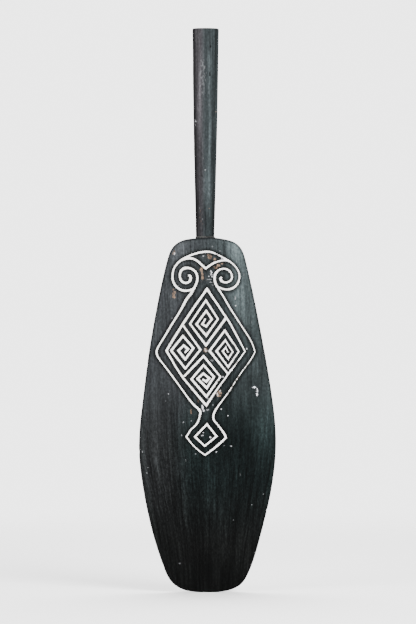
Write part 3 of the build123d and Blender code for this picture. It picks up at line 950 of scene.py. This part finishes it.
class Nodes:
    """Short ways to add and join shader nodes."""

    def __init__(self, name):
        self.material = bpy.data.materials.new(name)
        self.material.use_nodes = True
        self.tree = self.material.node_tree
        self.shader = self.tree.nodes["Principled BSDF"]
        self.where = self.add("ShaderNodeTexCoord").outputs["Object"]

    def add(self, kind, inputs=(), **settings):
        """A node with its settings made, and then its inputs set or joined."""
        node = self.tree.nodes.new(kind)
        for key, value in settings.items():
            setattr(node, key, value)
        for key, value in dict(inputs).items():
            self.put(node.inputs[key], value)
        return node

    def put(self, socket, value):
        """Joins another node's output to an input, or sets it; a colour gets its fourth number here."""
        if isinstance(value, bpy.types.NodeSocket):
            self.tree.links.new(value, socket)
        elif isinstance(value, tuple) and len(socket.default_value) == 4:
            socket.default_value = (*value, 1)
        else:
            socket.default_value = value

    def math(self, operation, a, b=0.0):
        return self.add("ShaderNodeMath", {0: a, 1: b}, operation=operation).outputs[0]

    def times(self, a, b):
        return self.math("MULTIPLY", a, b)

    def total(self, first, *others):
        for other in others:
            first = self.math("ADD", first, other)
        return first

    def vector(self, operation, a, b=(0, 0, 0)):
        node = self.add("ShaderNodeVectorMath", {0: a, 1: b}, operation=operation)
        return node.outputs["Value" if operation == "LENGTH" else "Vector"]

    def axis(self, k):
        return self.add("ShaderNodeSeparateXYZ", {0: self.where}).outputs[k]

    def stretch(self, per_metre, lean=0):
        """Object coordinates times a number for each axis, after leaning over by some degrees."""
        place = self.where
        if lean:
            inputs = {"Vector": place, "Angle": math.radians(lean)}
            place = self.add("ShaderNodeVectorRotate", inputs, rotation_type="Y_AXIS").outputs[0]
        return self.vector("MULTIPLY", place, per_metre)

    def fan(self, low, high, least):
        """Object coordinates whose x lines draw together towards a height, as the grain of the wood does."""
        narrowing = self.ramp(self.axis(2), low, high, least, 1.0)
        across = self.math("DIVIDE", self.axis(0), narrowing)
        return self.add("ShaderNodeCombineXYZ", {0: across, 1: self.axis(1), 2: self.axis(2)}).outputs[0]

    def noise(self, place, detail=3.0, roughness=0.55, distortion=0.0, offset=(0, 0, 0)):
        if any(offset):
            place = self.vector("ADD", place, offset)
        inputs = {"Vector": place, "Scale": 1.0, "Detail": detail}
        inputs.update({"Roughness": roughness, "Distortion": distortion})
        return self.add("ShaderNodeTexNoise", inputs).outputs["Fac"]

    def ramp(self, value, low, high, out_low=0.0, out_high=1.0):
        inputs = {"Value": value, "From Min": low, "From Max": high, "To Min": out_low, "To Max": out_high}
        return self.add("ShaderNodeMapRange", inputs, interpolation_type="SMOOTHSTEP").outputs[0]

    def mix(self, share, a, b, how="MIX"):
        node = self.add("ShaderNodeMix", {0: share, 6: a, 7: b}, data_type="RGBA", blend_type=how)
        return node.outputs[2]

    def attribute(self, name):
        return self.add("ShaderNodeAttribute", attribute_name=name).outputs["Fac"]

    def bump(self, height, distance, strength=1.0, under=None):
        inputs = {"Height": height, "Distance": distance, "Strength": strength}
        if under is not None:
            inputs["Normal"] = under
        return self.add("ShaderNodeBump", inputs).outputs[0]

    def glow(self, centre, reach):
        """1 at a place, falling softly to 0 at its reach along each axis; for slow changes of tone."""
        away = self.vector("DIVIDE", self.vector("SUBTRACT", self.where, centre), reach)
        return self.ramp(self.vector("LENGTH", away), 0.0, 1.0, 1.0, 0.0)

    def surface(self, colour, roughness, normal=None, specular=0.5):
        """Sets the shader and returns the finished material."""
        inputs = {"Base Color": colour, "Roughness": roughness, "Specular IOR Level": specular}
        if normal is not None:
            inputs["Normal"] = normal
        for key, value in inputs.items():
            self.put(self.shader.inputs[key], value)
        return self.material


def grey(n, value):
    """The same number in all three channels."""
    return n.add("ShaderNodeCombineColor", {0: value, 1: value, 2: value}).outputs[0]


# Slow changes of tone over the blade, partly stain and partly painted light: a painted sheen where the tone
# rises and painted shade where it falls; in metres: x, z, reach along x, reach along z, change of tone
BLADE_STAIN_AND_PAINTED_LIGHT = [
    (0.062, -0.44, 0.070, 0.12, -0.17),
    (0.066, -0.10, 0.046, 0.16, 0.30),
    (0.075, -0.18, 0.035, 0.06, -0.08),
    (0.098, -0.26, 0.026, 0.10, -0.05),
    (0.094, -0.345, 0.034, 0.07, 0.10),
    (0.0, -0.42, 0.040, 0.05, 0.05),
    (0.0, -0.53, 0.060, 0.15, -0.10),
    (0.052, -0.012, 0.038, 0.045, 0.30),
    (-0.056, -0.07, 0.030, 0.13, 0.12),
    (-0.050, -0.02, 0.030, 0.05, 0.16),
    (-0.100, -0.34, 0.045, 0.14, 0.12),
    (0.116, -0.31, 0.026, 0.12, 0.11),
    (-0.085, -0.41, 0.040, 0.09, 0.13),
    (0.108, -0.45, 0.030, 0.10, -0.10),
    (0.050, -0.36, 0.060, 0.10, -0.14),
    (0.0, 0.004, 0.085, 0.034, 0.12),
    (0.004, -0.008, 0.024, 0.018, -0.13),
]
STAIN_DARKEST = 0.0022  # the reflectance where the tone is 0
STAIN_SPAN = 3.66  # how fast the reflectance grows with the tone, which is on a logarithmic scale


def stained_wood(name, on_blade):
    """Worn black-green stain over wood, its tone carrying painted light and shade; point attributes say
    where chips, specks and grooves are, and where shade is painted.
    """
    n = Nodes(name)
    if on_blade:
        n.where = n.fan(-0.66, -0.30, 0.62)
    height = n.axis(2)
    grain = n.noise(n.stretch((950, 950, 14)), 4, 0.6)
    streak = n.noise(n.stretch((210, 210, 5.5)), 4, 0.62, 0.5, (3, 7, 1))
    band = n.noise(n.stretch((44, 44, 4.5)), 3, 0.55, 0.8, (9, 2, 5))
    slant = n.noise(n.stretch((300, 300, 9), 9), 3, 0.6, 0.0, (2, 1, 7))
    cloud = n.noise(n.stretch((14, 14, 9)), 3, 0.5, 0.0, (1, 4, 8))
    mottle = n.noise(n.stretch((330, 330, 200)), 3, 0.7, 0.0, (5, 5, 5))
    speck = n.noise(n.stretch((650, 650, 420)), 2, 0.6, 0.0, (6, 6, 2))
    if on_blade:
        tone = n.total(
            # Paler up the blade and darker towards the tip: partly stain, partly painted sheen and painted
            # shade
            n.ramp(height, -0.67, -0.46, -0.20, 0.17),
            n.ramp(height, -0.46, -0.20, -0.02, 0.41),
            # Painted shade on the land beside the grooves
            n.times(n.attribute("near"), n.ramp(height, -0.42, -0.30, -0.10, -0.27)),
            # Painted shade on the blade's rounded edge
            n.times(n.attribute("rim"), n.ramp(height, -0.50, -0.20, -0.10, -0.34)),
            n.times(
                n.ramp(height, -0.50, -0.28, 2.0, 1.0),
                n.total(
                    n.ramp(band, 0.30, 0.70, -0.045, 0.045),
                    n.ramp(streak, 0.28, 0.60, -0.130, 0.060),
                    n.ramp(slant, 0.40, 0.72, -0.03, 0.07),
                    n.ramp(cloud, 0.3, 0.7, -0.05, 0.05),
                    n.ramp(mottle, 0.3, 0.7, -0.09, 0.09),
                ),
            ),
        )
        # Patches of stain, painted sheen and painted shade over the blade's tone
        for x, z, reach_x, reach_z, change in BLADE_STAIN_AND_PAINTED_LIGHT:
            tone = n.total(tone, n.times(n.glow((x, 0, z), (reach_x, 1, reach_z)), change))
        tint = n.mix(n.ramp(n.axis(0), -0.05, 0.06), (0.89, 0.98, 1.06), (0.79, 1.0, 1.03))
        waist_tint = n.mix(n.ramp(n.axis(0), -0.075, -0.015), (0.90, 0.99, 1.02), (0.62, 1.0, 1.0))
        low_tint = n.mix(n.ramp(height, -0.56, -0.42), (0.90, 1.0, 0.96), waist_tint)
        tint = n.mix(n.ramp(height, -0.38, -0.24), low_tint, tint)
    else:
        tone = n.total(
            0.68,
            # Painted light and shade on the shaft's facets
            n.attribute("facet"),
            n.ramp(band, 0.32, 0.66, -0.05, 0.05),
            n.ramp(streak, 0.32, 0.70, -0.13, 0.12),
            n.ramp(cloud, 0.3, 0.7, -0.04, 0.04),
            n.ramp(mottle, 0.3, 0.7, -0.08, 0.08),
            n.ramp(height, 0.12, 0.0, 0.0, -0.13),
        )
        tint = n.mix(n.ramp(n.axis(0), -0.010, 0.002), (1.01, 0.965, 1.06), (0.80, 1.0, 1.05))
    value = n.times(n.math("EXPONENT", n.times(tone, STAIN_SPAN)), STAIN_DARKEST)
    fine = n.ramp(grain, 0.25, 0.75, 0.84, 1.18)
    colour = n.mix(1.0, tint, grey(n, n.times(value, fine)), "MULTIPLY")
    dust = n.times(n.ramp(speck, 0.71, 0.78), 0.08)
    colour = n.mix(dust, colour, (0.20, 0.20, 0.19))
    wood_tint = n.mix(n.ramp(streak, 0.3, 0.7), (0.050, 0.031, 0.022), (0.215, 0.145, 0.100))
    bare = n.times(n.ramp(n.attribute("bare"), 0.10, 0.40), n.ramp(mottle, 0.38, 0.56, 0.20, 1.0))
    colour = n.mix(bare, colour, wood_tint)
    fleck = n.times(n.attribute("fleck"), n.ramp(mottle, 0.34, 0.52, 0.30, 1.0))
    colour = n.mix(n.math("POWER", fleck, 2.2), colour, (0.66, 0.67, 0.70))
    colour = n.mix(n.ramp(n.attribute("pit"), 0.1, 0.6), colour, (0.002, 0.002, 0.002))
    if on_blade:
        # Painted shade: the grooves' walls and floor made nearly black
        colour = n.mix(n.times(n.attribute("groove"), 0.9), colour, (0.0045, 0.005, 0.005))
    else:
        rough_zone = n.noise(n.stretch((300, 300, 130)), 3, 0.65)
        worn = n.times(n.attribute("rough_zone"), n.ramp(rough_zone, 0.46, 0.60))
        colour = n.mix(n.times(worn, 0.5), colour, (0.12, 0.125, 0.13))
    gloss = n.total(n.ramp(streak, 0.3, 0.7, 0.54, 0.42), n.ramp(cloud, 0.3, 0.7, -0.03, 0.05))
    end_grain = n.ramp(height, -0.030, -0.006) if on_blade else n.ramp(height, 0.3700, 0.3706)
    gloss = n.total(gloss, n.times(bare, 0.25), n.times(fleck, 0.3), n.times(end_grain, 0.45))
    coarse = n.bump(streak, 0.0006, 0.5)
    detail = n.bump(grain, 0.00022, 0.5, coarse)
    pitted = n.bump(mottle, 0.00020, 0.4, detail)
    return n.surface(colour, gloss, pitted, 0.035 if on_blade else 0.04)


def lime_paste():
    n = Nodes("lime")
    patch = n.noise(n.stretch((90, 90, 90)), 3, 0.6)
    crumb = n.noise(n.stretch((900, 900, 900)), 3, 0.65)
    stroke = n.noise(n.stretch((16, 16, 16)), 2, 0.5, 0.0, (4, 4, 4))
    colour = n.mix(n.ramp(patch, 0.35, 0.7), (0.88, 0.88, 0.87), (0.80, 0.78, 0.75))
    warm = n.times(n.ramp(stroke, 0.50, 0.72), 0.5)
    colour = n.mix(warm, colour, (0.74, 0.69, 0.63))
    # Painted shade on the lime beside the groove's walls
    painted_wall_shade = n.times(n.attribute("rim"), n.ramp(crumb, 0.35, 0.6, 0.25, 0.8))
    colour = n.mix(n.times(painted_wall_shade, 0.5), colour, (0.16, 0.155, 0.15))
    thin = n.attribute("thin")
    gone = n.ramp(n.times(thin, n.ramp(crumb, 0.3, 0.6, 0.75, 1.15)), 0.15, 0.85)
    colour = n.mix(gone, colour, (0.085, 0.075, 0.066))
    grainy = n.bump(crumb, 0.00025, 0.6, n.bump(patch, 0.0008, 0.4))
    return n.surface(colour, n.ramp(crumb, 0.3, 0.7, 0.78, 0.95), grainy, 0.25)


def filler_paste():
    n = Nodes("filler")
    patch = n.noise(n.stretch((220, 220, 220)), 3, 0.6)
    crumb = n.noise(n.stretch((1100, 1100, 1100)), 2, 0.6)
    colour = n.mix(n.ramp(patch, 0.40, 0.66), (0.030, 0.030, 0.029), (0.008, 0.009, 0.009))
    colour = n.mix(n.ramp(crumb, 0.45, 0.72, 0.0, 0.4), colour, (0.075, 0.072, 0.068))
    return n.surface(colour, n.ramp(patch, 0.3, 0.7, 0.75, 0.92), n.bump(crumb, 0.0002, 0.5), 0.12)


def set_glue():
    n = Nodes("glue")
    patch = n.noise(n.stretch((260, 260, 90)), 3, 0.6)
    colour = n.mix(n.ramp(patch, 0.35, 0.65), (0.24, 0.13, 0.05), (0.36, 0.22, 0.10))
    return n.surface(colour, n.ramp(patch, 0.3, 0.7, 0.28, 0.45), n.bump(patch, 0.0002, 0.4))


blade.data.materials.append(stained_wood("blade_wood", True))
shaft.data.materials.append(stained_wood("shaft_wood", False))
lime_material = lime_paste()
for piece in limes:
    piece.data.materials.append(lime_material)
bead.data.materials.append(filler_paste())
glue.data.materials.append(set_glue())

# ---------------------------------------------------------------- floor, light and camera

low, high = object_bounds()
middle = (low + high) / 2
floor_z = low.z

FLOOR_SHARP = 0.9  # metres from the paddle within which the paper is whole
FLOOR_GONE = 2.3  # and where it has faded into the white surroundings
FLOOR_RADIUS = 2.4
FLOOR_SIDES = 96
SURROUND_SEEN = 3.7  # how bright the surroundings look to the camera
SURROUND_LIGHT = 0.5  # and how strongly they light the paddle


def paper_floor():
    """A pale paper floor that fades into the white round it."""
    points = [(0, 0, floor_z)]
    for k in range(FLOOR_SIDES):
        angle = 2 * math.pi * k / FLOOR_SIDES
        points.append((FLOOR_RADIUS * math.cos(angle), FLOOR_RADIUS * math.sin(angle), floor_z))
    faces = [(0, k + 1, (k + 1) % FLOOR_SIDES + 1) for k in range(FLOOR_SIDES)]
    mesh = bpy.data.meshes.new("paper_floor")
    mesh.from_pydata(points, [], faces)
    obj = bpy.data.objects.new("paper_floor", mesh)
    bpy.context.scene.collection.objects.link(obj)
    n = Nodes("pale_paper")
    cloud = n.noise(n.stretch((3, 3, 3)), 2)
    away = n.vector("LENGTH", n.vector("MULTIPLY", n.where, (1, 1, 0)))
    n.put(n.shader.inputs["Alpha"], n.ramp(away, FLOOR_SHARP, FLOOR_GONE, 1.0, 0.0))
    paper = n.mix(cloud, (0.90, 0.90, 0.90), (0.92, 0.92, 0.92))
    mesh.materials.append(n.surface(paper, 0.9, specular=0.1))


def soft_light(name, place, width, height, power, colour=(1, 1, 1), aim=None):
    """A rectangular light turned to the paddle's middle, or to the place it is aimed at."""
    data = bpy.data.lights.new(name, "AREA")
    data.shape = "RECTANGLE"
    data.size = width
    data.size_y = height
    data.energy = power
    data.color = colour
    obj = bpy.data.objects.new(name, data)
    bpy.context.scene.collection.objects.link(obj)
    obj.location = place
    towards = Vector(aim or (0, 0, middle.z)) - Vector(place)
    obj.rotation_euler = towards.to_track_quat("-Z", "Y").to_euler()


paper_floor()
soft_light("key", (1.7, -2.1, 1.5), 1.6, 1.6, 250)
soft_light("fill", (-2.3, -2.0, 0.6), 1.8, 2.2, 140, (1.0, 0.985, 0.99))
soft_light("back", (0.0, 1.5, 2.6), 3.4, 2.2, 300, aim=(0.0, 0.5, floor_z))

# The surroundings look white, but light the paddle only a little
world = bpy.data.worlds.new("studio")
world.use_nodes = True
tree = world.node_tree
seen = tree.nodes["Background"]
lighting = tree.nodes.new("ShaderNodeBackground")
for background, strength in ((seen, SURROUND_SEEN), (lighting, SURROUND_LIGHT)):
    background.inputs["Color"].default_value = (1, 1, 1, 1)
    background.inputs["Strength"].default_value = strength
which = tree.nodes.new("ShaderNodeMixShader")
tree.links.new(tree.nodes.new("ShaderNodeLightPath").outputs["Is Camera Ray"], which.inputs[0])
tree.links.new(lighting.outputs[0], which.inputs[1])
tree.links.new(seen.outputs[0], which.inputs[2])
tree.links.new(which.outputs[0], tree.nodes["World Output"].inputs["Surface"])
bpy.context.scene.world = world

LENS = 180  # a long lens, so that the paddle is seen square on
SENSOR = 36
VIEW_HEIGHT = 1.108  # metres seen from top to bottom at the paddle
VIEW_X, VIEW_Z = 0.0048, -0.1320  # the middle of what is seen
camera_data = bpy.data.cameras.new("camera")
camera_data.lens = LENS
camera = bpy.data.objects.new("camera", camera_data)
bpy.context.scene.collection.objects.link(camera)
camera_data.sensor_fit = "VERTICAL"
camera_data.sensor_height = SENSOR
camera.location = (VIEW_X, -VIEW_HEIGHT / SENSOR * LENS, VIEW_Z)
camera.rotation_euler = (math.pi / 2, 0, 0)
bpy.context.scene.camera = camera
